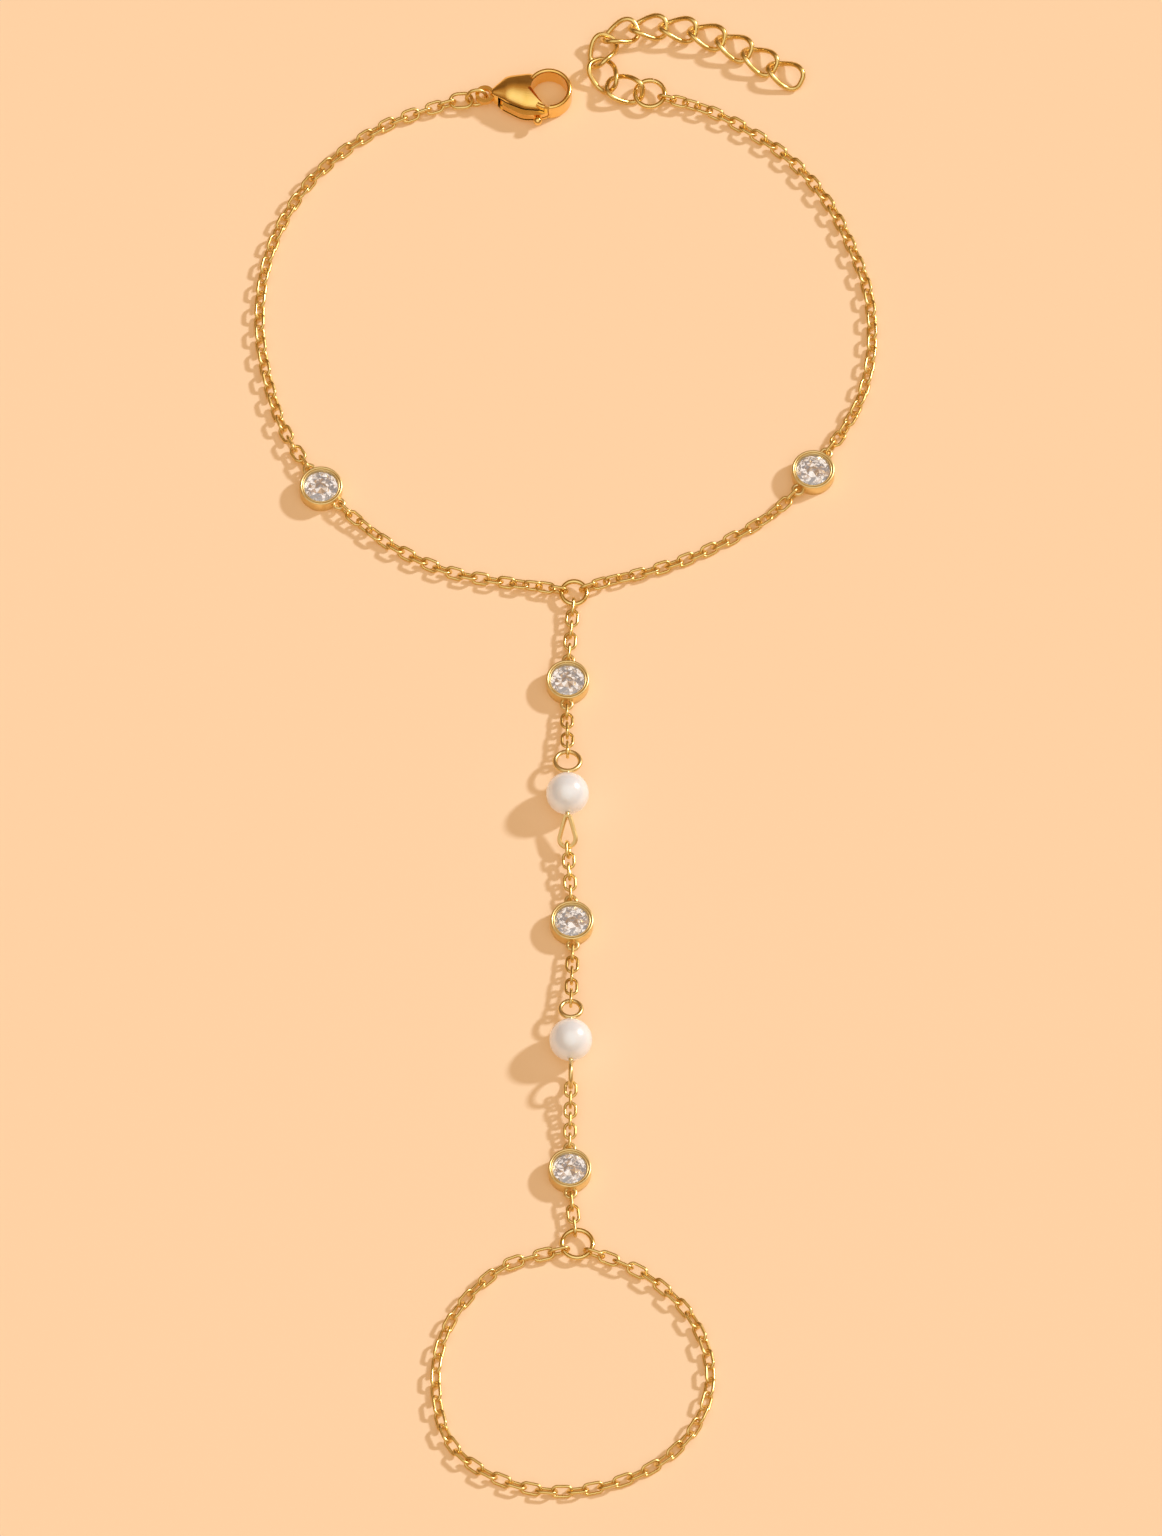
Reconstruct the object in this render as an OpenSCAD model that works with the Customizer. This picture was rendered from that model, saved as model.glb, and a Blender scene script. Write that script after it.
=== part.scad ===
// Hand chain bracelet: a wrist chain with a clasp and an extender, a line of
// set stones and pearls along the back of the hand, and a chain loop for a finger.
// It lies flat on a surface at z = 0, with the fingers towards -Y.

/* [Cable chain] */
// Wire of a small cable link
link_wire = 0.3; // [0.26:0.01:0.32]
// Outer width of a small cable link
link_w = 1.3; // [1.25:0.05:1.5]
// Distance between neighbouring links of the wrist and hand chains
wrist_pitch = 1.2; // [1.15:0.05:1.5]
// Distance between neighbouring links of the finger chain
finger_pitch = 1.44; // [1.35:0.05:1.7]
// Roll of a resting cable link about the chain's line
link_roll = 45; // [40:1:50]

/* [Extender] */
// Number of large links in the extender
extender_links = 10; // [8:1:12]
// Wire of a large link
extender_wire = 0.4; // [0.35:0.01:0.42]
// Outer width of a large link
extender_w = 2.7; // [2.6:0.1:2.8]
// Twist of a large link's two ends, to either side
extender_twist = 30; // [28:1:34]
// Roll of the first large link, which eases away along the chain
extender_lean = 22; // [18:1:24]

/* [Rings] */
// Outer diameter of the ring where the hand line leaves the wrist chain
centre_ring_d = 2.8; // [2.7:0.1:3.4]
// Outer diameter of the ring that closes the finger loop
finger_ring_d = 3.3; // [3:0.1:4]
// Outer diameter of the ring that the clasp closes on
extender_ring_d = 3.2; // [3:0.1:4]
// Wire of these three rings
ring_wire = 0.45; // [0.35:0.01:0.48]
// Outer diameter of the jump ring at the clasp
clasp_ring_d = 2.1; // [2.05:0.05:2.2]
// Wire of the jump ring at the clasp
clasp_ring_wire = 0.36; // [0.3:0.01:0.38]
// Outer length of the oval link next to the clasp
oval_l = 2.4; // [2.2:0.1:3]
// Outer width of the oval link
oval_w = 1.8; // [1.7:0.1:2]
// Wire of the oval link
oval_wire = 0.34; // [0.3:0.01:0.4]

/* [Settings] */
// Outer diameter of a bezel setting
setting_d = 4; // [3.8:0.1:4.4]
// Height of a bezel setting
setting_h = 1.5; // [1.4:0.05:1.8]
// Width of the bevelled rim that holds the stone
rim_w = 0.5; // [0.4:0.05:0.6]
// Bevel on the outer edges of a setting
edge_bevel = 0.12; // [0.05:0.01:0.15]
// Wire of the soldered eyes
eye_wire = 0.34; // [0.3:0.01:0.4]

/* [Stones] */
// How far the girdle of a stone reaches under the rim
stone_grip = 0.1; // [0.05:0.01:0.15]
// Height of the crown above the girdle
crown_h = 0.32; // [0.25:0.01:0.35]
// Thickness of the girdle
girdle_t = 0.06; // [0.04:0.01:0.1]
// Depth of the pavilion below the girdle
pavilion_h = 0.8; // [0.7:0.01:0.85]
// Width of the table as a share of the girdle
table_share = 0.56; // [0.5:0.01:0.62]

/* [Pearls] */
// Diameter of a pearl
pearl_d = 4; // [3.6:0.1:5]
// Pin through a pearl
pearl_pin_wire = 0.4; // [0.3:0.01:0.42]
// Wire of the eyes at the ends of a pearl's pin
pearl_eye_wire = 0.44; // [0.43:0.01:0.48]
// Outer diameter of a large round eye
large_eye_d = 2.8; // [2.4:0.1:3]
// Outer diameter of a small round eye
small_eye_d = 2.4; // [2.2:0.1:2.6]
// Outer width of the drop-shaped eye
drop_eye_w = 2; // [1.9:0.1:2.3]
// Outer length of the drop-shaped eye
drop_eye_l = 3.4; // [3:0.1:3.6]
// How far the eyes of a pearl's pin sag from level, in degrees
eye_sag = 15; // [10:1:18]

/* [Clasp] */
// Thickness of the clasp
clasp_t = 2.4; // [2.2:0.05:2.8]
// Width of the clasp's body
clasp_w = 4.4; // [4.2:0.1:4.8]
// From the tail eye to the centre of the hook's opening
hook_reach = 6; // [5.8:0.05:6.4]
// Radius of the hook's opening
hook_r = 1.7; // [1.6:0.05:1.75]
// Wall of the hook
hook_wall = 0.45; // [0.4:0.05:0.6]
// Thickness of the lever
lever_t = 0.85; // [0.7:0.05:1]
// Width of the lever's arm
lever_w = 0.6; // [0.5:0.01:0.7]
// How far the lever opens
lever_open = 25; // [20:1:26]
// Diameter of the rivet pin
rivet_d = 0.6; // [0.5:0.05:0.7]
// Length of the rivet pin
rivet_l = 1.3; // [1.25:0.05:1.35]
// Radius of the hole in the tail
tail_hole_r = 0.54; // [0.53:0.01:0.56]
// Wall round the hole in the tail
tail_wall = 0.36; // [0.32:0.02:0.38]
// Thickness of the tail
tail_t = 0.5; // [0.4:0.05:0.55]

/* [Fits] */
// Gap between the wires of two hooked links
link_gap = 0.13; // [0.11:0.01:0.15]
// Gap between the wires of two large links
extender_gap = 0.28; // [0.26:0.01:0.3]
// Gap round a stone in its seat
stone_gap = 0.05; // [0.03:0.01:0.08]
// Gap between a pearl's drilled hole and its pin
drill_gap = 0.05; // [0.03:0.01:0.08]
// Gap between the lever and its rivet
rivet_gap = 0.04; // [0.02:0.01:0.06]
// Gap between the rivet and the cheeks that hold it
seat_gap = 0.01; // [0.01:0.01:0.02]
// Gap on each face of the lever in its slot
slot_gap = 0.12; // [0.08:0.01:0.14]
// Height of the lowest point of a chain above the surface
lift = 0.01; // [0:0.01:0.05]

/* [Hidden] */

gold = "goldenrod";
wire_sides = 32;
bend_sides = 48;
round_sides = 64;
ball_sides = 48;

// Centres of the main pieces and the chosen points of each chain's line, in plan
ROUTE = [
    ["wrist left setting", [-22.9, 27.1]],
    ["wrist right setting", [23, 28.8]],
    ["hand setting 1", [0.1, 7]],
    ["hand setting 2", [0.5, -17.9]],
    ["hand setting 3", [0.3, -43.4]],
    ["pearl 1", [0.1, -5.1]],
    ["pearl 2", [0.4, -30.5]],
    ["centre ring", [0.7, 16.3]],
    ["finger ring", [1, -50.9]],
    ["extender ring", [7.8, 68.3]],
    ["clasp tail", [-7.65, 68]],
    ["wrist left line", [
        [-14, 66.4], [-17.2, 65], [-21, 62.3], [-24.2, 59], [-26.7, 54.7],
        [-28.2, 50], [-28.7, 45], [-28.3, 40.5], [-27, 35], [-25.5, 31.6]]],
    ["front left line", [[-20, 24.3], [-16.2, 21.2], [-11.3, 18.7], [-6.5, 17.6], [-2.5, 17]]],
    ["front right line", [[4, 17.6], [7, 18.4], [11, 19.8], [15, 21.8], [19, 24.4]]],
    ["wrist right line", [
        [26, 33.5], [27.6, 37], [28.5, 42], [28.2, 47.5], [26.6, 52.5],
        [24.3, 57.3], [21, 61.5], [17, 64.6], [13, 66.8]]],
    ["finger line", [
        [-3.5, -52.3], [-6.2, -53.4], [-9.4, -56.6], [-11.5, -60.6], [-12.1, -65.4], [-11, -70.7],
        [-7.7, -74.1], [-2.5, -76], [3, -75.7], [8.5, -73.3], [12.2, -69], [13.3, -63.7],
        [11.6, -58.4], [8, -54.5], [4.8, -52.7]]],
    ["extender line", [
        [4.8, 68.6], [3.2, 70.1], [2.9, 71.8], [3.4, 73.5], [5.2, 74.9], [8, 75.3], [10.8, 75.1],
        [13.6, 74.3], [16.2, 73.1], [18.5, 71.6], [20.8, 70.3], [22, 69.6]]],
];
function place(name) = ROUTE[search([name], ROUTE)[0]][1];

// Directions in which each setting's two eyes point, and the hooks on the rings
SETTING_NAMES = [
    "wrist left setting", "wrist right setting", "hand setting 1", "hand setting 2", "hand setting 3"];
EYE_TURNS = [[119, -43], [-128, 58], [88, -92], [92, -88], [90, -88]];

// Heights of the chain's line at rest, where rings and eyes hold it, and at the clasp
held_room = 0.1;
extender_ring_rise = 0.15;
link_rest = (link_w - link_wire) / 2 * sin(link_roll) + link_wire / 2 + lift;
held_z = link_w / 2 + held_room;
extender_ring_z = held_z + extender_ring_rise;
clasp_z = clasp_t / 2;

// Soldered eyes: extra room for a link that turns in them, and how far they sink into the metal
eye_room = 0.06;
eye_sink = 0.2;
eye_r = (link_wire + 2 * link_gap + eye_room + eye_wire) / 2;

// Heights and radii of a stone in its setting, with its table a little below the rim
table_sink = 0.06;
rim_r = setting_d / 2 - rim_w;
stone_r = rim_r + stone_grip;
table_r = stone_r * table_share;
girdle_top = setting_h - table_sink - crown_h;
girdle_low = girdle_top - girdle_t;
culet_z = girdle_low - pavilion_h;

// Straight neck of a pearl's pin between the pearl and each eye
pin_neck = 0.1;

// A stadium link in the XY plane with its long side on X, or a ring where both sizes are the same.
// Its straight sides are whole microns, so that their ends meet the bends exactly.
module flat_link(length, width, wire) {
    half_run = round((length - width) * 500) / 1000;
    bend_r = (width - wire) / 2;
    if (half_run < 0.005) {
        rotate_extrude($fn = bend_sides) translate([bend_r, 0]) circle(d = wire, $fn = wire_sides);
    } else {
        for (side = [-1, 1]) {
            translate([side * half_run, 0, 0])
            rotate([0, 0, side > 0 ? -90 : 90])
            rotate_extrude(angle = 180, $fn = bend_sides)
            translate([bend_r, 0])
            circle(d = wire, $fn = wire_sides);
            translate([-half_run, side * bend_r, 0])
            rotate([0, 90, 0])
            cylinder(h = 2 * half_run, d = wire, $fn = wire_sides);
        }
    }
}

// A closed wire along a loop of points, whose corners are set out from the loop's plane at each point
wire_corners = 6;
function unit(v) = v / norm(v);
module bent_wire(loop, planes, wire) {
    count = len(loop);
    corners = [
        for (i = [0:count - 1])
            let (along = unit(loop[(i + 1) % count] - loop[(i + count - 1) % count]))
            let (out = unit(cross(along, planes[i])), up = cross(out, along))
            for (k = [0:wire_corners - 1])
                loop[i] + wire / 2 * (cos(360 * k / wire_corners) * out + sin(360 * k / wire_corners) * up)];
    faces = [
        for (i = [0:count - 1], k = [0:wire_corners - 1])
            let (next = (i + 1) % count, far = (k + 1) % wire_corners)
            let (a = i * wire_corners + k, b = i * wire_corners + far)
            let (c = next * wire_corners + far, d = next * wire_corners + k)
            each [[a, b, c], [a, c, d]]];
    polyhedron(corners, faces);
}

// A curb link in the same place as a flat one: a full oval whose two ends twist to either side
oval_steps = 16;
oval_power = 0.75;
function fuller(v) = sign(v) * pow(abs(v), oval_power);
OVAL_TURNS = [for (i = [0:oval_steps - 1]) 360 * i / oval_steps];
function oval_roll_at(turn, twist) = twist * sin(90 * fuller(cos(turn)));
function oval_drop_at(turn, half_w, roll, twist) =
    half_w * fuller(sin(turn)) * sin(roll + oval_roll_at(turn, twist));
module curb_link(length, width, wire, twist) {
    half_l = (length - wire) / 2;
    half_w = (width - wire) / 2;
    bent_wire(
        [for (turn = OVAL_TURNS)
            let (y = half_w * fuller(sin(turn)), roll = oval_roll_at(turn, twist))
            [half_l * fuller(cos(turn)), y * cos(roll), y * sin(roll)]],
        [for (turn = OVAL_TURNS) let (roll = oval_roll_at(turn, twist)) [0, -sin(roll), cos(roll)]],
        wire);
}

// A drop-shaped loop in the XY plane: a small bend at its -X end and a wide one at its +X end
drop_tip_r = 0.27;
drop_steps = 8;
module drop_link(length, width, wire) {
    bend_r = (width - wire) / 2;
    tip_x = (wire - length) / 2 + drop_tip_r;
    bend_x = (length - wire) / 2 - bend_r;
    edge_turn = 180 - acos((bend_r - drop_tip_r) / (bend_x - tip_x));
    loop = concat(
        [for (i = [-drop_steps:drop_steps])
            [bend_x, 0, 0] + bend_r * [cos(edge_turn * i / drop_steps), sin(edge_turn * i / drop_steps), 0]],
        [for (i = [0:drop_steps - 2])
            let (turn = edge_turn + (360 - 2 * edge_turn) * i / (drop_steps - 2))
            [tip_x, 0, 0] + drop_tip_r * [cos(turn), sin(turn), 0]]);
    bent_wire(loop, [for (point = loop) [0, 0, 1]], wire);
}

// Moves a link so that its two end wires have their centres at a and b, rolled about the line between them
module hold_between(a, b, roll) {
    way = b - a;
    translate((a + b) / 2)
    rotate([roll, -asin(way.z / norm(way)), atan2(way.y, way.x)])
    children();
}
module link_between(a, b, roll, width, wire) {
    hold_between(a, b, roll) flat_link(norm(b - a) + wire, width, wire);
}

// Points of a smooth curve through the given plan points (Catmull-Rom)
function blend_point(p, q, r, s, t) =
    0.5 * (2 * q + (r - p) * t + (2 * p - 5 * q + 4 * r - s) * t * t + (3 * q - p - 3 * r + s) * t * t * t);
function plan_curve(points, steps = 8) = [
    for (i = [0:len(points) - 2], k = [0:steps - 1])
        blend_point(
            points[max(i - 1, 0)], points[i], points[i + 1],
            points[min(i + 2, len(points) - 1)], k / steps),
    points[len(points) - 1],
];

// Distance along a curve at each of its points
function run_lengths(curve) = [
    for (i = 0, run = 0; i < len(curve);
         run = run + (i + 1 < len(curve) ? norm(curve[i + 1] - curve[i]) : 0), i = i + 1)
        run,
];

// Heights ease from both held ends down to the resting height, or run straight between near ends,
// where the heights are those of the wires that the end links hook round
function ease(t) = t < 1 ? (1 - t) * (1 - t) : 0;
hook_in = (pearl_eye_wire + link_wire) / 2 + link_gap;
function height_at(run, total, z_start, z_end, z_rest, ease_run) =
    total < 2 * ease_run ? z_start + (z_end - z_start) * (run - hook_in) / (total - 2 * hook_in)
    : z_rest + (z_start - z_rest) * ease(run / ease_run) + (z_end - z_rest) * ease((total - run) / ease_run);

// The line of a chain in space, with the distance along it as the fourth value
function chain_line(points, z_start, z_end, z_rest, ease_run) =
    let (plan = plan_curve(points), flat_run = run_lengths(plan), total = flat_run[len(plan) - 1])
    let (curve = [for (i = [0:len(plan) - 1])
        [plan[i].x, plan[i].y, height_at(flat_run[i], total, z_start, z_end, z_rest, ease_run)]])
    let (run = run_lengths(curve))
    [for (i = [0:len(curve) - 1]) [curve[i].x, curve[i].y, curve[i].z, run[i]]];
function line_length(line) = line[len(line) - 1][3];
function point_at(line, run) = [for (axis = [0:2]) lookup(run, [for (p = line) [p[3], p[axis]]])];

// The nearest number of links that fills a line. Each link is turned a quarter from the last, so a
// short chain takes a number with which both its end links stand square to what they hook into.
function half_turn(angle) = angle - 180 * floor((angle + 90) / 180);
function link_count(line, pitch, first, last) =
    let (share = (line_length(line) - link_wire - link_gap) / pitch)
    let (odd = abs(half_turn(last - first)) < 45)
    share > long_chain ? round(share) : odd ? 2 * round((share - 1) / 2) + 1 : 2 * round(share / 2);

// Rolls of a chain's links: square to what holds the ends, and leaning at link_roll between them
roll_run = 5;
long_chain = 2 * roll_run + 2;
function cable_roll(i, count, first, last) =
    let (lean = half_turn(link_roll - first))
    let (end = lean + half_turn(last - first - 90 * (count - 1) - lean))
    let (from_start = max(0, 1 - i / roll_run), from_end = max(0, 1 - (count - 1 - i) / roll_run))
    first + 90 * i + (count > long_chain
        ? lean * (1 - from_start - from_end) + end * from_end
        : half_turn(last - first - 90 * (count - 1)) * i / max(count - 1, 1));

// Interlocked links along a line, flat ones or curb links. The first and last end wires sit at the ends
// of the line, and no link is lower than the surface that it rests on.
module chain(line, count, width, wire, gap, rolls, twist = 0) {
    pitch = (line_length(line) - wire - gap) / count;
    reach = pitch + wire + gap;
    for (i = [0:count - 1]) {
        middle = reach / 2 + i * pitch;
        a = point_at(line, middle - pitch / 2);
        b = point_at(line, middle + pitch / 2);
        way = (b - a) / norm(b - a);
        drop = max([for (turn = OVAL_TURNS) oval_drop_at(turn, (width - wire) / 2, rolls[i], twist)]);
        rest = drop + wire / 2 + lift;
        at = (a + b) / 2 + [0, 0, max(0, rest - (a.z + b.z) / 2)];
        color(gold)
        hold_between(at - way * reach / 2, at + way * reach / 2, rolls[i])
        if (twist == 0)
            flat_link(reach + wire, width, wire);
        else
            curb_link(reach + wire, width, wire, twist);
    }
}

// A cable chain between two held ends, given the roll of what each end hooks into
ease_links = 9;
module cable(points, z_start, z_end, roll_start, roll_end, pitch = wrist_pitch) {
    line = chain_line(points, z_start, z_end, link_rest, ease_links * pitch);
    first = roll_start + 90;
    last = roll_end + 90;
    count = link_count(line, pitch, first, last);
    rolls = [for (i = [0:count - 1]) cable_roll(i, count, first, last)];
    chain(line, count, link_w, link_wire, link_gap, rolls);
}

// Where a link's end wire sits inside a ring, on the side that the angle names
function inside_ring(centre, ring_d, wire, turn, hooked = link_wire, gap = link_gap) =
    centre + (ring_d / 2 - wire - gap - hooked / 2) * [cos(turn), sin(turn)];

// The middle of a soldered eye, on the side of a setting that the angle names
eye_out = setting_d / 2 - eye_sink + eye_r;
function eye_at(setting, side) =
    place(SETTING_NAMES[setting]) + eye_out * [cos(EYE_TURNS[setting][side]), sin(EYE_TURNS[setting][side])];

// An eye on a pearl's pin starts at eye_root and sags outwards and down, so that its far end lies at
// pin_end_z. A chain's end wire sits inside that end, at pin_end from the middle of the pearl.
eye_root = pearl_d / 2 + pin_neck + pearl_eye_wire / 2;
function pin_end(eye_l) = eye_root + (eye_l - pearl_eye_wire) * cos(eye_sag) - hook_in;
function pin_end_z(eye_l) = pearl_d / 2 - (eye_l - pearl_eye_wire) * sin(eye_sag);

// The jump ring hangs from the clasp's tail, and the oval link from the jump ring
tail = place("clasp tail");
clasp_ring_roll = -65;
clasp_ring_drop = 0.4;
tail_back = -0.08;
clasp_ring_side = 0.3;
clasp_ring_reach = clasp_ring_d - clasp_ring_wire;
clasp_ring_a = [tail.x - tail_back, tail.y, clasp_z];
clasp_ring_b = [tail.x - tail_back - clasp_ring_reach, tail.y - clasp_ring_side, clasp_z - clasp_ring_drop];
oval_roll = 0;
oval_drop = 0.05;
oval_side = 0.15;
oval_a = clasp_ring_b + [(clasp_ring_wire + oval_wire) / 2 + link_gap, 0, 0];
oval_b = oval_a - [oval_l - oval_wire, oval_side, oval_drop];
oval_end = [oval_b.x, oval_b.y] + [(oval_wire + link_wire) / 2 + link_gap, 0];
oval_end_z = oval_b.z;
module wrist_chain_left() {
    cable(
        concat([oval_end], place("wrist left line"), [eye_at(0, 0)]),
        oval_end_z, held_z, oval_roll, 0);
}
module wrist_chain_front_left() {
    cable(
        concat(
            [eye_at(0, 1)], place("front left line"),
            [inside_ring(place("centre ring"), centre_ring_d, ring_wire, 165)]),
        held_z, held_z, 0, 0);
}
module wrist_chain_front_right() {
    cable(
        concat(
            [inside_ring(place("centre ring"), centre_ring_d, ring_wire, 30)],
            place("front right line"), [eye_at(1, 0)]),
        held_z, held_z, 0, 0);
}
module wrist_chain_right() {
    cable(
        concat(
            [eye_at(1, 1)], place("wrist right line"),
            [inside_ring(place("extender ring"), extender_ring_d, ring_wire, -20)]),
        held_z, extender_ring_z, 0, 0);
}

// The short chains of the hand line, from the wrist to the finger
module hand_chain_1() {
    cable(
        [inside_ring(place("centre ring"), centre_ring_d, ring_wire, -92), eye_at(2, 0)],
        held_z, held_z, 0, 0);
}
module hand_chain_2() {
    cable(
        [eye_at(2, 1), place("pearl 1") + [0, pin_end(large_eye_d)]],
        held_z, pin_end_z(large_eye_d), 0, 0);
}
module hand_chain_3() {
    cable(
        [place("pearl 1") - [0, pin_end(drop_eye_l)], eye_at(3, 0)],
        pin_end_z(drop_eye_l), held_z, drop_eye_roll, 0);
}
module hand_chain_4() {
    cable(
        [eye_at(3, 1), place("pearl 2") + [0, pin_end(small_eye_d)]],
        held_z, pin_end_z(small_eye_d), 0, 0);
}
module hand_chain_5() {
    cable(
        [place("pearl 2") - [0, pin_end(large_eye_d)], eye_at(4, 0)],
        pin_end_z(large_eye_d), held_z, 90, 0);
}
module hand_chain_6() {
    cable(
        [eye_at(4, 1), inside_ring(place("finger ring"), finger_ring_d, ring_wire, 100)],
        held_z, held_z, 0, 0);
}
module finger_chain() {
    cable(
        concat(
            [inside_ring(place("finger ring"), finger_ring_d, ring_wire, 212)],
            place("finger line"),
            [inside_ring(place("finger ring"), finger_ring_d, ring_wire, -42)]),
        held_z, held_z, 0, 0, finger_pitch);
}

// Curb links that rest on the surface, with the last one free. The first one leans most, so that it
// stands clear of the level ring, and the lean eases away along the chain.
module extender_chain() {
    start = inside_ring(
        place("extender ring"), extender_ring_d, ring_wire, 175, extender_wire, extender_gap);
    line = chain_line(concat([start], place("extender line")), 0, 0, 0, extender_w);
    chain(line, extender_links, extender_w, extender_wire, extender_gap,
        [for (i = [0:extender_links - 1]) extender_lean * (i / extender_links - 1)], extender_twist);
}

// A ring that lies level at the height of the links it holds
module level_ring(name, ring_d, height) {
    color(gold)
    translate([place(name).x, place(name).y, height])
    flat_link(ring_d, ring_d, ring_wire);
}
module centre_ring() { level_ring("centre ring", centre_ring_d, held_z); }
module finger_ring() { level_ring("finger ring", finger_ring_d, held_z); }
module extender_ring() { level_ring("extender ring", extender_ring_d, extender_ring_z); }

module clasp_ring() {
    color(gold) link_between(clasp_ring_a, clasp_ring_b, clasp_ring_roll, clasp_ring_d, clasp_ring_wire);
}
module clasp_link() {
    color(gold) link_between(oval_a, oval_b, oval_roll, oval_w, oval_wire);
}

// A plain bezel cup with a conical seat, a bevelled rim and two soldered eyes
cut_over = 0.01;
module setting(index) {
    r = setting_d / 2;
    seat_r = stone_r + stone_gap;
    seat_z = girdle_low - stone_gap;
    floor_z = culet_z - stone_gap;
    lip_z = girdle_top + stone_gap;
    color(gold)
    translate([place(SETTING_NAMES[index]).x, place(SETTING_NAMES[index]).y, 0])
    difference() {
        union() {
            rotate_extrude($fn = round_sides)
            polygon([
                [0, 0], [r - edge_bevel, 0], [r, edge_bevel], [r, setting_h - edge_bevel],
                [r - edge_bevel, setting_h], [0, setting_h]]);
            for (turn = EYE_TURNS[index])
                rotate([0, 0, turn])
                translate([eye_out, 0, held_z])
                flat_link(2 * eye_r + eye_wire, 2 * eye_r + eye_wire, eye_wire);
        }
        rotate_extrude($fn = round_sides)
        polygon([
            [0, floor_z], [seat_r, seat_z], [seat_r, lip_z], [rim_r, lip_z + stone_gap],
            [rim_r + rim_w / 2, setting_h + cut_over], [0, setting_h + cut_over]]);
    }
}
module setting_1() { setting(0); }
module setting_2() { setting(1); }
module setting_3() { setting(2); }
module setting_4() { setting(3); }
module setting_5() { setting(4); }

// Corners of a round brilliant: the table, the crown's middle ring, the girdle, the pavilion and the culet
function ring_points(count, radius, height, first = 0) = [
    for (k = [0:count - 1])
        [radius * cos(first + 360 * k / count), radius * sin(first + 360 * k / count), height]];
crown_mid_share = 0.8;
pavilion_mid_share = 0.25;
crown_mid_r = stone_r * crown_mid_share;
crown_mid_z = girdle_top + crown_h
    - (crown_mid_r * cos(22.5) - table_r) * crown_h / (stone_r - table_r);
pavilion_mid_r = stone_r * pavilion_mid_share;
pavilion_mid_z = girdle_low - (stone_r - pavilion_mid_r * cos(22.5)) * pavilion_h / stone_r;
BRILLIANT = concat(
    ring_points(8, table_r, girdle_top + crown_h),
    ring_points(8, crown_mid_r, crown_mid_z, 22.5),
    ring_points(16, stone_r, girdle_top),
    ring_points(16, stone_r, girdle_low),
    ring_points(8, pavilion_mid_r, pavilion_mid_z, 22.5),
    [[0, 0, culet_z]]);
// Places of the first corner of each ring in the list above
crown_at = 8;
girdle_at = 16;
under_at = 32;
pavilion_at = 48;
culet_at = 56;
function next8(k) = (k + 1) % 8;
function next16(k) = (k + 1) % 16;
BRILLIANT_FACES = concat(
    [[for (k = [7:-1:0]) k]],
    [for (k = [0:7]) [k, next8(k), crown_at + k]],
    [for (k = [0:7]) [next8(k), girdle_at + next8(k) * 2, crown_at + k]],
    [for (k = [0:7]) [k, crown_at + k, girdle_at + 2 * k]],
    [for (k = [0:7]) [crown_at + k, girdle_at + 2 * k + 1, girdle_at + 2 * k]],
    [for (k = [0:7]) [crown_at + k, girdle_at + next8(k) * 2, girdle_at + 2 * k + 1]],
    [for (k = [0:15]) [girdle_at + k, girdle_at + next16(k), under_at + next16(k), under_at + k]],
    [for (k = [0:7]) [under_at + 2 * k, under_at + 2 * k + 1, pavilion_at + k]],
    [for (k = [0:7]) [under_at + 2 * k + 1, under_at + next8(k) * 2, pavilion_at + k]],
    [for (k = [0:7]) [under_at + next8(k) * 2, culet_at, pavilion_at + k]],
    [for (k = [0:7]) [culet_at, under_at + 2 * k, pavilion_at + k]]);
module stone(index) {
    color([0.93, 0.95, 0.98, 0.8])
    translate([place(SETTING_NAMES[index]).x, place(SETTING_NAMES[index]).y, 0])
    polyhedron(BRILLIANT, BRILLIANT_FACES);
}
module stone_1() { stone(0); }
module stone_2() { stone(1); }
module stone_3() { stone(2); }
module stone_4() { stone(3); }
module stone_5() { stone(4); }

// A drilled pearl that rests on the surface, with its hole along Y
module pearl(name) {
    color("ivory")
    translate([place(name).x, place(name).y, pearl_d / 2])
    difference() {
        sphere(d = pearl_d, $fn = round_sides);
        rotate([90, 0, 0])
        cylinder(h = 2 * pearl_d, d = pearl_pin_wire + 2 * drill_gap, center = true, $fn = wire_sides);
    }
}
module pearl_1() { pearl("pearl 1"); }
module pearl_2() { pearl("pearl 2"); }

// One wire through a pearl, with a sagging eye at each end: [outer length, outer width, roll]
drop_eye_roll = 15;
module pin_eye(side, eye) {
    reach = eye[0] - pearl_eye_wire;
    near = [0, side * eye_root, 0];
    hold_between(near, near + reach * [0, side * cos(eye_sag), -sin(eye_sag)], eye[2])
    if (eye[0] == eye[1])
        flat_link(eye[0], eye[1], pearl_eye_wire);
    else
        drop_link(eye[0], eye[1], pearl_eye_wire);
}
module pearl_pin(name, top, bottom) {
    color(gold)
    translate([place(name).x, place(name).y, pearl_d / 2]) {
        rotate([90, 0, 0])
        cylinder(h = 2 * eye_root, d = pearl_pin_wire, center = true, $fn = wire_sides);
        pin_eye(1, top);
        pin_eye(-1, bottom);
    }
}
module pearl_pin_1() {
    pearl_pin("pearl 1", [large_eye_d, large_eye_d, 0], [drop_eye_l, drop_eye_w, drop_eye_roll]);
}
module pearl_pin_2() {
    pearl_pin("pearl 2", [small_eye_d, small_eye_d, 0], [large_eye_d, large_eye_d, 90]);
}

// The clasp is drawn with its tail eye at the origin, its hook towards +X and its mid-plane at z = 0.
// Its body is a skin round pairs of flattened balls, [place, radius, half thickness], from the tail on.
hook_at = [hook_reach, 0.19];
BODY_BALLS = [
    [[1, 0.05], clasp_w * 0.13, clasp_t * 0.3],
    [[2.7, 0.05], clasp_w * 0.4, clasp_t / 2],
    [[hook_at.x - 1.95, -0.2], clasp_w / 2, clasp_t / 2],
    [[hook_at.x - 1, -0.55], clasp_w * 0.42, clasp_t * 0.46],
];
dome_share = 0.65;
top_lean = 0.15;

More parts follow.
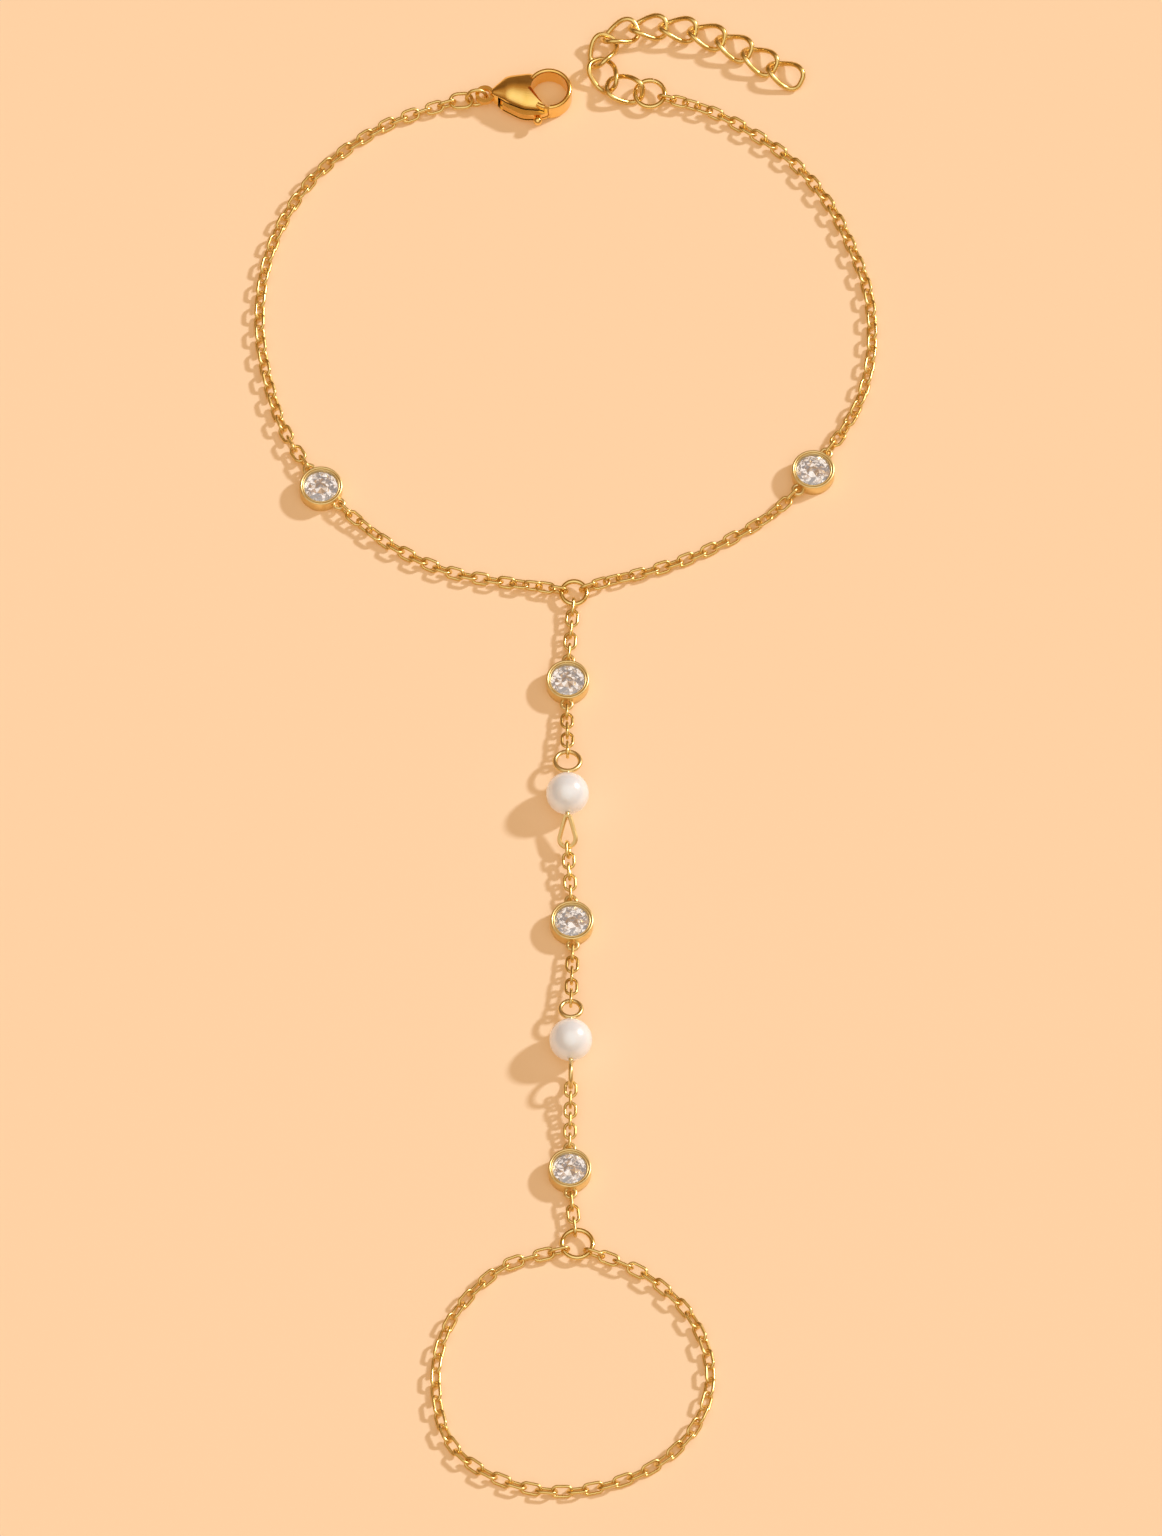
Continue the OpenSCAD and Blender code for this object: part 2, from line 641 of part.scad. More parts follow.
// The hook is a bent bar with round edges, from one angle to the other, thinner than the body
hook_start = -125;
hook_turn = 270;
hook_t = clasp_t - 0.2;

// The mouth's left side is cut straight and bevelled, at a share of its radius from its middle
mouth_share = 0.76;
mouth_turn = 33;
mouth_bevel = 0.25;

// The gate between the body and the hook's tip lies between two arcs round the lever's pivot
pivot = [1.95, -0.35];
gate_before = 0.15;
gate_t = 0.45;
gate_in = hook_at.x - pivot.x - gate_before;
gate_out = gate_in + gate_t;
head_gap = 0.05;
head_t = clasp_t * 0.8;

// The lever's root, arm, edge inside the body's skin, and thumb nub, which stands out beyond the body's
// last pair of balls
root_wall = 0.3;
root_r = rivet_d / 2 + root_wall;
arm_turn = -20;
edge_in = 0.1;
nub_r = lever_t / 2;
nub_out = 0.3;
nub_shift = -0.05;
nub_at = BODY_BALLS[3][0] + [nub_shift, -BODY_BALLS[3][1] - nub_out];

module at_clasp() {
    translate([tail.x, tail.y, clasp_z]) children();
}
module ball_pair(at, r, half_t) {
    dome = half_t * dome_share;
    for (lean = [0, top_lean])
        translate([at.x, at.y + lean * r, (lean > 0 ? 1 : -1) * (half_t - dome)])
        scale([1 - lean, 1 - lean, dome / r])
        sphere(r = r, $fn = ball_sides);
}

// The whole outer shape of the body and its hook, before the holes, the slot and the gate are cut
module clasp_skin() {
    hull() for (ball = BODY_BALLS) ball_pair(ball[0], ball[1], ball[2]);
    translate([hook_at.x, hook_at.y, 0])
    rotate([0, 0, hook_start])
    rotate_extrude(angle = hook_turn, $fn = round_sides)
    translate([hook_r + hook_wall / 2, 0]) {
        square([hook_wall, hook_t - hook_wall], center = true);
        for (side = [-1, 1])
            translate([0, side * (hook_t - hook_wall) / 2])
            circle(d = hook_wall, $fn = wire_sides);
    }
}
module rod(at, r, h) {
    translate([at.x, at.y, 0]) cylinder(h = h, r = r, center = true, $fn = round_sides);
}

// A large block on the body's side of the mouth's straight cut
module body_side() {
    size = 4 * clasp_w;
    translate([hook_at.x, hook_at.y, 0])
    rotate([0, 0, mouth_turn])
    translate([-size - hook_r * mouth_share, -size / 2, -size / 2])
    cube(size);
}

// Bars that bevel the upper and lower edge of the straight cut
module mouth_bevels() {
    translate([hook_at.x, hook_at.y, 0])
    rotate([0, 0, mouth_turn])
    for (side = [-1, 1])
        translate([-hook_r * mouth_share, 0, side * clasp_t / 2])
        rotate([0, 45, 0])
        cube([mouth_bevel * 2, 2 * hook_r * sin(acos(mouth_share)), mouth_bevel * 2], center = true);
}
module clasp_body() {
    slot_t = lever_t + 2 * slot_gap;
    slot_side = root_r + slot_gap;
    arm_side = lever_w / 2 + slot_gap;
    slot_turn = arm_turn + lever_open;
    slot_lift = pivot + arm_side * [-sin(slot_turn), cos(slot_turn)];
    color(gold)
    at_clasp()
    difference() {
        union() {
            clasp_skin();
            cylinder(h = tail_t, r = tail_hole_r + tail_wall, center = true, $fn = round_sides);
        }
        cylinder(h = clasp_t * 2, r = tail_hole_r, center = true, $fn = round_sides);
        difference() {
            rod(hook_at, hook_r, clasp_t * 2);
            body_side();
        }
        mouth_bevels();
        intersection() {
            difference() {
                rod(pivot, gate_out, clasp_t * 2);
                rod(pivot, gate_in, clasp_t * 3);
            }
            translate([hook_at.x - hook_r - hook_wall, -clasp_w, -clasp_t])
            cube([2 * hook_r, clasp_w + hook_at.y, clasp_t * 2]);
        }
        linear_extrude(slot_t, center = true) {
            translate(pivot) circle(r = slot_side, $fn = round_sides);
            polygon([
                pivot - [slot_side, 0], [pivot.x - slot_side, -clasp_w], [pivot.x + gate_in, -clasp_w],
                slot_lift + gate_in * [cos(slot_turn), sin(slot_turn)], slot_lift]);
        }
        rod(pivot, rivet_d / 2 + seat_gap, rivet_l + 2 * seat_gap);
    }
}
module clasp_lever() {
    color(gold)
    at_clasp()
    difference() {
        union() {
            rod(pivot, root_r, lever_t);
            intersection() {
                hull() for (i = [1:3]) rod(BODY_BALLS[i][0], BODY_BALLS[i][1] - edge_in, lever_t);
                rod(pivot, gate_out - head_gap, clasp_t);
                translate([pivot.x, pivot.y, 0])
                rotate([0, 0, arm_turn])
                translate([0, lever_w / 2 - 2 * clasp_w, -clasp_t])
                cube([2 * clasp_w, 2 * clasp_w, 2 * clasp_t]);
            }
            intersection() {
                difference() {
                    rod(pivot, gate_out - head_gap, head_t);
                    rod(pivot, gate_in + head_gap, head_t * 2);
                }
                clasp_skin();
                body_side();
            }
            translate([nub_at.x, nub_at.y, 0]) sphere(r = nub_r, $fn = round_sides);
        }
        rod(pivot, rivet_d / 2 + rivet_gap, clasp_t);
    }
}
module clasp_rivet() {
    color(gold) at_clasp() rod(pivot, rivet_d / 2, rivet_l);
}

wrist_chain_left();
wrist_chain_front_left();
wrist_chain_front_right();
wrist_chain_right();
hand_chain_1();
hand_chain_2();
hand_chain_3();
hand_chain_4();
hand_chain_5();
hand_chain_6();
finger_chain();
extender_chain();
centre_ring();
finger_ring();
extender_ring();
clasp_ring();
clasp_link();
clasp_body();
clasp_lever();
clasp_rivet();
setting_1();
setting_2();
setting_3();
setting_4();
setting_5();
stone_1();
stone_2();
stone_3();
stone_4();
stone_5();
pearl_1();
pearl_2();
pearl_pin_1();
pearl_pin_2();
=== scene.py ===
# %% [markdown]
# A hand chain: a fine gilt chain for the wrist, a line of stones and pearls
# down the back of the hand, and a small loop for the finger. The jeweller's
# solids come in as a fixed frame in metres. Here they get a camera, a light,
# and finishes that look like polished gilt brass, cut stone and pearl. The
# parts that a close look falls on are drawn again with more care.

# %% Load the solids
import math

import bpy
import numpy as np
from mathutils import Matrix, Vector


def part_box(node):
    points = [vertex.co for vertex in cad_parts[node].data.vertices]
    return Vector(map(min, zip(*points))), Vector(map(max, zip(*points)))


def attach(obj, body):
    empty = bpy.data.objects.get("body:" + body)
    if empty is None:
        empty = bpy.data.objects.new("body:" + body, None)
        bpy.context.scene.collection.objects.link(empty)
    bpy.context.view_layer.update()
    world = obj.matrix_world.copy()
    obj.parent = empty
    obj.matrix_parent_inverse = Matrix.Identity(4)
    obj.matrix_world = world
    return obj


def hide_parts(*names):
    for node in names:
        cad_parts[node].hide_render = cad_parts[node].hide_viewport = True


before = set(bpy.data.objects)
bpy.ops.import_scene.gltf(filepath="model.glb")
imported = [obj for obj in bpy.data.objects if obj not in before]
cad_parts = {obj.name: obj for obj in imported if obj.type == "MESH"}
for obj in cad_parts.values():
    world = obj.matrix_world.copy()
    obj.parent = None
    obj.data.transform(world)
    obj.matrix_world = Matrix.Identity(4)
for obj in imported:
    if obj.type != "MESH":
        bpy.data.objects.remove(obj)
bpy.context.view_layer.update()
MM = 0.001

# %% [markdown]
# A shop photograph of jewellery is taken with a long lens, so that near and
# far links come out the same size. The camera looks down at 64 degrees from
# the finger's side. A parallel camera would do too, but a lens of more than a
# metre keeps a trace of depth, and its distance follows from how much of the
# table the picture takes in.

# %% Camera
VIEW_TILT = math.radians(64)
VIEW_HEIGHT = 142.9 * MM
LENS, SENSOR = 1200, 36
LOOK_AT = Vector((1.35, -1.5, 0)) * MM

view_back = Vector((0, -math.cos(VIEW_TILT), math.sin(VIEW_TILT)))
camera_data = bpy.data.cameras.new("camera")
camera_data.lens = LENS
camera_data.sensor_width = SENSOR
camera_data.clip_end = 20
camera = bpy.data.objects.new("camera", camera_data)
camera.location = LOOK_AT + view_back * (VIEW_HEIGHT * LENS / SENSOR)
camera.rotation_euler = view_back.to_track_quat("Z", "Y").to_euler()
bpy.context.collection.objects.link(camera)
bpy.context.scene.camera = camera
print("camera is", round(camera.location.length, 2), "m away")

# %% [markdown]
# Shader nodes are wired many times below. They could be placed by hand in the
# shader editor, but in code a few short helpers keep every finish readable.
# One adds a node and sets its inputs: a number or tuple is a value, and a
# socket is a link. The others give a tone that wanders over the object, a
# colour between two colours, and fine relief.

# %% Helpers for finishes


def add(tree, kind, settings=None, **inputs):
    """One shader node. Settings are its own properties; inputs go by name, or by number as _0, _1."""
    node = tree.nodes.new("ShaderNode" + kind)
    for name, value in (settings or {}).items():
        setattr(node, name, value)
    for name, value in inputs.items():
        socket = node.inputs[int(name[1:]) if name[0] == "_" else name.replace("_", " ")]
        if isinstance(value, bpy.types.NodeSocket):
            tree.links.new(value, socket)
        else:
            socket.default_value = value
    return node


def new_finish(name, **values):
    """A material with a Principled shader and its fixed values; gives material, tree and shader."""
    finish = bpy.data.materials.new(name)
    finish.use_nodes = True
    shader = finish.node_tree.nodes["Principled BSDF"]
    for socket, value in values.items():
        shader.inputs[socket.replace("_", " ")].default_value = value
    return finish, finish.node_tree, shader


def wander(tree, low, high, scale, detail=2.0, stretch=(1, 1, 1)):
    """Noise on the object's own coordinates, carried from its usual range 0.3 to 0.7 over to low to high."""
    place = add(tree, "Mapping", Vector=add(tree, "TexCoord").outputs["Object"], Scale=stretch)
    noise = add(tree, "TexNoise", Vector=place.outputs[0], Scale=scale, Detail=detail)
    carried = add(tree, "MapRange", Value=noise.outputs["Fac"],
                  From_Min=0.3, From_Max=0.7, To_Min=low, To_Max=high)
    return carried.outputs[0]


def between(tree, factor, first, second):
    """A colour that goes from first to second as factor goes from 0 to 1."""
    mix = add(tree, "Mix", {"data_type": "RGBA"}, _0=factor)
    mix.inputs["A"].default_value = (*first, 1)
    mix.inputs["B"].default_value = (*second, 1)
    return mix.outputs["Result"]


def relief(tree, shader, height, depth, strength):
    """Fine relief: the height, from 0 to 1, stands for a depth in metres, at the given strength."""
    bump = add(tree, "Bump", Height=height, Strength=strength, Distance=depth)
    tree.links.new(bump.outputs[0], shader.inputs["Normal"])


# %% [markdown]
# The table is a plain apricot sheet. A backdrop often curves up behind the
# object, but this camera looks down and sees flat paper only, so one large
# square does. Its tone drifts a little, as paper does. Light goes into such
# paper and comes out again warmer, which a faint glow of its own stands for,
# and its shadows stay warm.

# %% Table top
TABLE_HALF = 1.5
corners = np.array([(-1, -1, 0), (1, -1, 0), (1, 1, 0), (-1, 1, 0)]) * TABLE_HALF
table_mesh = bpy.data.meshes.new("table_top")
table_mesh.from_pydata(corners.tolist(), [], [(0, 1, 2, 3)])
table_top = bpy.data.objects.new("table_top", table_mesh)
bpy.context.collection.objects.link(table_top)
paper, tree, shader = new_finish("apricot paper", Roughness=0.9, Specular_IOR_Level=0.1,
                                 Emission_Color=(1.0, 0.40, 0.02, 1), Emission_Strength=0.26)
tree.links.new(between(tree, wander(tree, 0, 1, 9), (0.745, 0.615, 0.485), (0.735, 0.62, 0.495)),
               shader.inputs["Base Color"])
relief(tree, shader, wander(tree, 0, 1, 2500, 3), 0.00002, 0.15)
table_mesh.materials.append(paper)
print("table top", 2 * TABLE_HALF, "m wide")

# %% [markdown]
# One small bright lamp at the right casts crisp shadows to the left. A sun
# lamp does it, because its shadows all run the same way over the whole table.
# Around it the room is a soft dome, pale overhead and behind the camera and
# warm brown beyond the table. Polished gold shows little but this room, so
# the dark far side is what gives each link its deep edge.

# %% Light and room
KEY_FROM = Vector((1.3, 0.65, 1.0)).normalized()
key_data = bpy.data.lights.new("key lamp", "SUN")
key_data.energy = 2.3
key_data.color = (1.0, 0.97, 0.93)
key_data.angle = math.radians(5)
key = bpy.data.objects.new("key lamp", key_data)
key.rotation_euler = KEY_FROM.to_track_quat("Z", "Y").to_euler()
bpy.context.collection.objects.link(key)

PALE_SIDE = (0, -0.35, 0.937)
# Stops of the room: how far a direction leans to the pale side, and its colour
ROOM = (
    (0.00, (0.24, 0.13, 0.05)),
    (0.45, (0.19, 0.10, 0.04)),
    (0.70, (0.54, 0.30, 0.11)),
    (0.87, (0.96, 0.88, 0.76)),
    (1.00, (1.25, 1.20, 1.12)),
)
room = bpy.data.worlds.new("soft room")
bpy.context.scene.world = room
room.use_nodes = True
tree = room.node_tree
direction = add(tree, "TexCoord").outputs["Generated"]
facing = add(tree, "VectorMath", {"operation": "DOT_PRODUCT"}, _0=direction, _1=PALE_SIDE)
ramp = add(tree, "ValToRGB", Fac=facing.outputs["Value"])
stops = ramp.color_ramp.elements
# A new ramp comes with two stops, so the others are added first
for _ in ROOM[2:]:
    stops.new(0.5)
for stop, (place, colour) in zip(stops, ROOM):
    stop.position = place
    stop.color = (*colour, 1)
tree.links.new(ramp.outputs["Color"], tree.nodes["Background"].inputs["Color"])
bpy.context.scene.view_settings.view_transform = "Standard"
print("lamp stands", round(math.degrees(math.asin(KEY_FROM.z))), "degrees high")

# %% [markdown]
# Gilt brass is all reflection: full metal, warm yellow, and a roughness that
# wanders where the plating was rubbed. A picture could be wrapped round each
# link, but noise gives the wear at every scale and needs no unwrapping. Fine
# scratches are noise squeezed hard along one direction. Chain links are
# tumbled in a drum and come out a little softer than the buffed jump rings.
# The settings and the pearls' pins are paler and satin, and the clasp, which
# comes from another bench, is plated a little redder.

# %% Gilt
SCRATCHES = (900, 2600, 9000)


def gilt(name, pale, deep, polish, rub):
    """Metal whose colour wanders between pale and deep, and its roughness from polish to rub."""
    finish, tree, shader = new_finish(name, Metallic=1.0)
    tree.links.new(between(tree, wander(tree, 0, 1, 700, 3), pale, deep), shader.inputs["Base Color"])
    tree.links.new(wander(tree, polish, rub, 1500, 4), shader.inputs["Roughness"])
    relief(tree, shader, wander(tree, 0, 1, 1, 3, SCRATCHES), 0.00002, 0.08)
    return finish


def dress(finish, *names):
    """Puts a finish on every material slot of the named solids."""
    for name in names:
        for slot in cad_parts[name].material_slots:
            slot.material = finish


CHAINS = [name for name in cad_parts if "chain" in name]
RINGS = ["centre_ring", "finger_ring", "extender_ring", "clasp_ring", "clasp_link"]
SETTINGS = [f"setting_{k}" for k in range(1, 6)]
PINS = ["pearl_pin_1", "pearl_pin_2"]
CLASP = ["clasp_body", "clasp_lever", "clasp_rivet"]
chain_gilt = gilt("chain gilt", (0.88, 0.67, 0.28), (0.80, 0.57, 0.19), 0.24, 0.38)
satin_gilt = gilt("satin gilt", (0.91, 0.73, 0.37), (0.83, 0.63, 0.28), 0.32, 0.43)
bright_gilt = gilt("bright gilt", (0.92, 0.71, 0.31), (0.85, 0.62, 0.22), 0.14, 0.25)
clasp_gilt = gilt("clasp gilt", (0.96, 0.66, 0.23), (0.90, 0.57, 0.15), 0.14, 0.25)
dress(chain_gilt, *CHAINS, *RINGS)
dress(satin_gilt, *SETTINGS, *PINS)
dress(clasp_gilt, *CLASP)
print("gilt solids:", len(CHAINS + RINGS + SETTINGS + PINS + CLASP))

# %% [markdown]
# The pieces below are surfaces on a grid, with rows of points one way and
# columns the other way. A shell is its points in millimetres and a list of
# face arrays. Helpers join the points of a grid, turn a shell that came out
# inside out by the sign of its volume, and make a piece from shells.

# %% Helpers for surfaces


def grid_faces(rows, columns, closed):
    """Point (i, j) of a grid joins (i, j + 1), (i + 1, j + 1) and (i + 1, j); columns always run round."""
    i, j = np.meshgrid(np.arange(rows if closed else rows - 1), np.arange(columns), indexing="ij")
    below, right = (i + 1) % rows, (j + 1) % columns
    square = [i * columns + j, i * columns + right, below * columns + right, below * columns + j]
    return np.stack(square, -1).reshape(-1, 4)


def lids(rows, columns):
    """One face over the first ring of points and one over the last."""
    ring = np.arange(columns)[None]
    return [ring[:, ::-1], ring + (rows - 1) * columns]


def volume(points, faces):
    """A sixth of the sum of a . (b x c) over the triangles that fan out from each face's first point."""
    total = 0.0
    for group in faces:
        for k in range(1, group.shape[1] - 1):
            a, b, c = (points[group[:, n]] for n in (0, k, k + 1))
            total += np.einsum("ij,ij->", a, np.cross(b, c)) / 6
    return total


def make_piece(name, shells, finishes, replaced, smooth=35, second=None):
    """One piece in metres from shells in millimetres. Edges past smooth degrees stay sharp; 0 keeps all.

    A shell with a volume below zero is turned inside out. Second marks the faces of the second finish.
    """
    every_point, every_face, start = [], [], 0
    for points, faces in shells:
        outward = volume(points - points.mean(axis=0), faces) > 0
        for group in faces:
            every_face += ((group if outward else group[:, ::-1]) + start).tolist()
        every_point.append(points)
        start += len(points)
    mesh = bpy.data.meshes.new(name)
    mesh.from_pydata((np.vstack(every_point) * MM).tolist(), [], every_face)
    for finish in finishes:
        mesh.materials.append(finish)
    if second is not None:
        mesh.polygons.foreach_set("material_index", second.astype(np.int32))
    if smooth:
        mesh.shade_smooth()
        mesh.set_sharp_from_angle(angle=math.radians(smooth))
    mesh.update()
    piece = bpy.data.objects.new(name, mesh)
    bpy.context.collection.objects.link(piece)
    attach(piece, "bracelet")
    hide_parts(replaced)
    return piece


def box_of(name):
    """Low and high corner of a solid's box in millimetres."""
    return np.array([tuple(corner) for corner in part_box(name)]) / MM


print("a closed wire of 4 rows of 8 points has", len(grid_faces(4, 8, True)), "faces")

# %% [markdown]
# A wire is a circle carried along a path. A curve object with a bevel gives
# the same, but its ends and twists are harder to steer. So at each point of
# the path the circle gets two directions across it: one in the plane that the
# wire was bent in, and one out of that plane.

# %% Bent wire


def bent_wire(path, planes, wire, sides=12, closed=True):
    """Each path point moves out by r (cos t, sin t) along two directions: ahead x plane, and that x ahead."""
    rows = np.arange(len(path))
    front = (rows + 1) % len(path) if closed else np.minimum(rows + 1, len(path) - 1)
    behind = rows - 1 if closed else np.maximum(rows - 1, 0)
    ahead = path[front] - path[behind]
    ahead /= np.linalg.norm(ahead, axis=1, keepdims=True)
    out = np.cross(ahead, planes)
    out /= np.linalg.norm(out, axis=1, keepdims=True)
    up = np.cross(out, ahead)
    t = np.linspace(0, 2 * np.pi, sides, endpoint=False)[None, :, None]
    points = path[:, None] + wire / 2 * (np.cos(t) * out[:, None] + np.sin(t) * up[:, None])
    faces = [grid_faces(len(path), sides, closed)]
    return points.reshape(-1, 3), faces if closed else faces + lids(len(path), sides)


def level_ring(centre, radius, wire, seam=None, gap=0.06, steps=72):
    """A ring c + r (cos a, sin a, 0). With a seam, given in degrees, its two cut ends stand a gap apart."""
    cut = 0 if seam is None else gap / radius
    start = math.radians(seam or 0) + cut / 2
    a = start + np.linspace(0, 2 * np.pi - cut, steps, endpoint=seam is not None)
    path = centre + radius * np.stack([np.cos(a), np.sin(a), 0 * a], -1)
    return bent_wire(path, np.tile([0.0, 0, 1], (steps, 1)), wire, closed=seam is None)


print("a ring of wire has", len(level_ring(np.zeros(3), 1.0, 0.4)[0]), "points")

# %% [markdown]
# Jump rings are cut from a coil of wire and bent shut, so each one has a
# fine seam. A cut could be modelled with a boolean, but a wire that stops
# just short of a full turn is simpler. Three rings of the bracelet are drawn
# again with their seams, on a wire a hair thicker than that of the solids.

# %% Rings with a seam
SOLID_RING_WIRE = 0.45
RING_WIRE = 0.47
SEAMS = {"centre_ring": -40, "finger_ring": 160, "extender_ring": 75}
for name, seam in SEAMS.items():
    low, high = box_of(name)
    radius = (high[0] - low[0] - SOLID_RING_WIRE) / 2
    make_piece(name + "_seamed", [level_ring((low + high) / 2, radius, RING_WIRE, seam)],
               [bright_gilt], name)
    print(name, "has a radius of", round(radius, 2), "mm")

# %% [markdown]
# The extender is a curb chain: ovals whose two ends are twisted to either
# side, so that they hook into each other and still lie flat. The solids
# already lie where the links go. Each link's place, length and three axes
# come from its own solid, and a rounder link with a stouter wire is drawn
# there. Its twist is stronger too, so that no two links touch, and it is
# lifted by as much as that twist would sink it into the table.

# %% Extender links
LINK_WIDTH = 2.85
LINK_WIRE = 0.48
LINK_TWIST = 33
FULLNESS = 0.7
LINK_LIFT = 0.13


def loose_parts(name):
    """The points of each solid in a node: a triangle's points take their lowest label, until none changes."""
    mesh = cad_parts[name].data
    points = np.empty(3 * len(mesh.vertices))
    mesh.vertices.foreach_get("co", points)
    mesh.calc_loop_triangles()
    corner = np.empty(3 * len(mesh.loop_triangles), dtype=np.int32)
    mesh.loop_triangles.foreach_get("vertices", corner)
    spots, same = np.unique(np.round(points.reshape(-1, 3) / MM, 3), axis=0, return_inverse=True)
    corner = same.ravel()[corner].reshape(-1, 3)
    label, before = np.arange(len(spots)), None
    while before is None or (label != before).any():
        before = label.copy()
        np.minimum.at(label, corner, before[corner].min(axis=1, keepdims=True))
    return [spots[label == k] for k in np.unique(label)]


def curb_link(part, steps=40):
    """An oval x = l f(cos a), y = w f(sin a), where f(v) = |v|^0.7 with v's sign.

    It is rolled round x by the twist times sin(90 x / l) and is as long outside as its solid.
    """
    centre = part.mean(axis=0)
    long_way, wide_way = np.linalg.svd(part - centre, full_matrices=False)[2][:2]
    axes = np.stack([long_way, wide_way, np.cross(long_way, wide_way)])
    half_l = (np.ptp((part - centre) @ long_way) - LINK_WIRE) / 2
    half_w = (LINK_WIDTH - LINK_WIRE) / 2
    a = np.linspace(0, 2 * np.pi, steps, endpoint=False)
    along, across = (np.sign(v) * np.abs(v) ** FULLNESS for v in (np.cos(a), np.sin(a)))
    roll = math.radians(LINK_TWIST) * np.sin(np.pi / 2 * along)
    path = np.stack([half_l * along, half_w * across * np.cos(roll), half_w * across * np.sin(roll)], -1)
    planes = np.stack([0 * roll, -np.sin(roll), np.cos(roll)], -1)
    return bent_wire(centre + (0, 0, LINK_LIFT) + path @ axes, planes @ axes, LINK_WIRE)


links = [curb_link(part) for part in loose_parts("extender_chain")]
make_piece("extender_links", links, [chain_gilt], "extender_chain")
print("extender links:", len(links))

# %% [markdown]
# A bezel is a short tube with its edge rubbed over the stone. A screw or
# bevel modifier could make it, but here its section is drawn once and turned
# round the middle by its formula: a small foot bevel, a plain wall, two
# rounded beads that catch the light with a fine groove between them, and a
# shaded inner wall down to the sunk stone. Two soldered eyes stand on each.

# %% Settings
# The section from the foot to the seat, as radius and height, with the two beads between
FOOT = [(1.88, 0.0), (1.96, 0.04), (2.0, 0.12)]
INSIDE = [(1.58, 1.25), (1.57, 1.11), (1.56, 1.1), (1.66, 1.07), (1.66, 0.92), (1.2, 0.42), (0.9, 0.4)]
# Each bead's radius, half its width and its top
BEADS = ((1.88, 0.12, 1.5), (1.68, 0.08, 1.46))
BEAD_RISE = 0.08
BEAD_POINTS = 9
bow = np.linspace(0, np.pi, BEAD_POINTS)
LIP = [np.stack([r + half * np.cos(bow), top - BEAD_RISE * (1 - np.sin(bow))], -1) for r, half, top in BEADS]
BEZEL = np.vstack([FOOT, *LIP, INSIDE])
# The eyes: how far out their middle is, radius, wire, height, and each pair's two directions in degrees
EYE_OUT = 2.28
EYE_R = 0.48
EYE_WIRE = 0.36
EYE_Z = 0.75
EYE_TURNS = ((119, -43), (-128, 58), (88, -92), (92, -88), (90, -88))


def lathe(profile, centre, sides=64):
    """Each point (r, z) of the profile turns to c + (r cos a, r sin a, z), with flat lids at both ends."""
    a = np.linspace(0, 2 * np.pi, sides, endpoint=False)
    r, z = (v[:, None] for v in profile.T)
    points = np.stack([r * np.cos(a), r * np.sin(a), z + 0 * a], -1).reshape(-1, 3) + centre
    return points, [grid_faces(len(profile), sides, False)] + lids(len(profile), sides)


def seat_of(k):
    """The point on the table top under the middle of stone k, in millimetres."""
    return box_of(f"stone_{k}").mean(axis=0) * (1, 1, 0)


for k, turns in enumerate(EYE_TURNS, 1):
    shells = [lathe(BEZEL, seat_of(k))]
    for turn in np.radians(turns):
        eye = seat_of(k) + (EYE_OUT * math.cos(turn), EYE_OUT * math.sin(turn), EYE_Z)
        shells.append(level_ring(eye, EYE_R, EYE_WIRE, steps=40))
    make_piece(f"bezel_{k}", shells, [satin_gilt], f"setting_{k}")
print("settings:", len(EYE_TURNS))

# %% [markdown]
# Small stones like these are clear above and backed with silver foil. Under
# the flat table the foil is shallow and throws the light straight back, and
# further out it is steep and shows the dark side of the room. The change
# from facet to facet is what sparkles, so every second point of the back
# hangs a little lower and no two neighbours tilt alike. Light that bounces on
# and on inside is lost in a short render, and a faint glow of the foil gives
# it back. Each stone sits turned its own way.

# %% Stones
clear, tree, shader = new_finish("clear stone", Transmission_Weight=1.0, IOR=2.0)
tree.links.new(wander(tree, 0.0, 0.04, 900), shader.inputs["Roughness"])
tree.links.new(between(tree, wander(tree, 0, 1, 500), (1, 1, 1), (0.98, 0.96, 0.97)),
               shader.inputs["Base Color"])
relief(tree, shader, wander(tree, 0, 1, 1800, 3), 0.00001, 0.05)

foil, tree, shader = new_finish("silver foil", Metallic=1.0, Emission_Color=(1.0, 0.90, 0.86, 1),
                                Emission_Strength=0.12)
tree.links.new(between(tree, wander(tree, 0, 1, 1200), (0.96, 0.93, 0.91), (0.85, 0.82, 0.81)),
               shader.inputs["Base Color"])
tree.links.new(wander(tree, 0.02, 0.09, 2500), shader.inputs["Roughness"])
relief(tree, shader, wander(tree, 0, 1, 3000, 3), 0.00002, 0.1)

# Rings of points of a stone: how many, radius, height, first turn in degrees, drop of each second point
STONE_RINGS = ((8, 0.9, 1.27, 0, 0), (8, 1.28, 1.18, 22.5, 0), (16, 1.62, 1.03, 0, 0),
               (16, 1.62, 0.97, 0, 0), (16, 1.12, 0.74, 11.25, 0.09), (8, 0.6, 0.54, 0, 0.06))
CULET_Z = 0.62


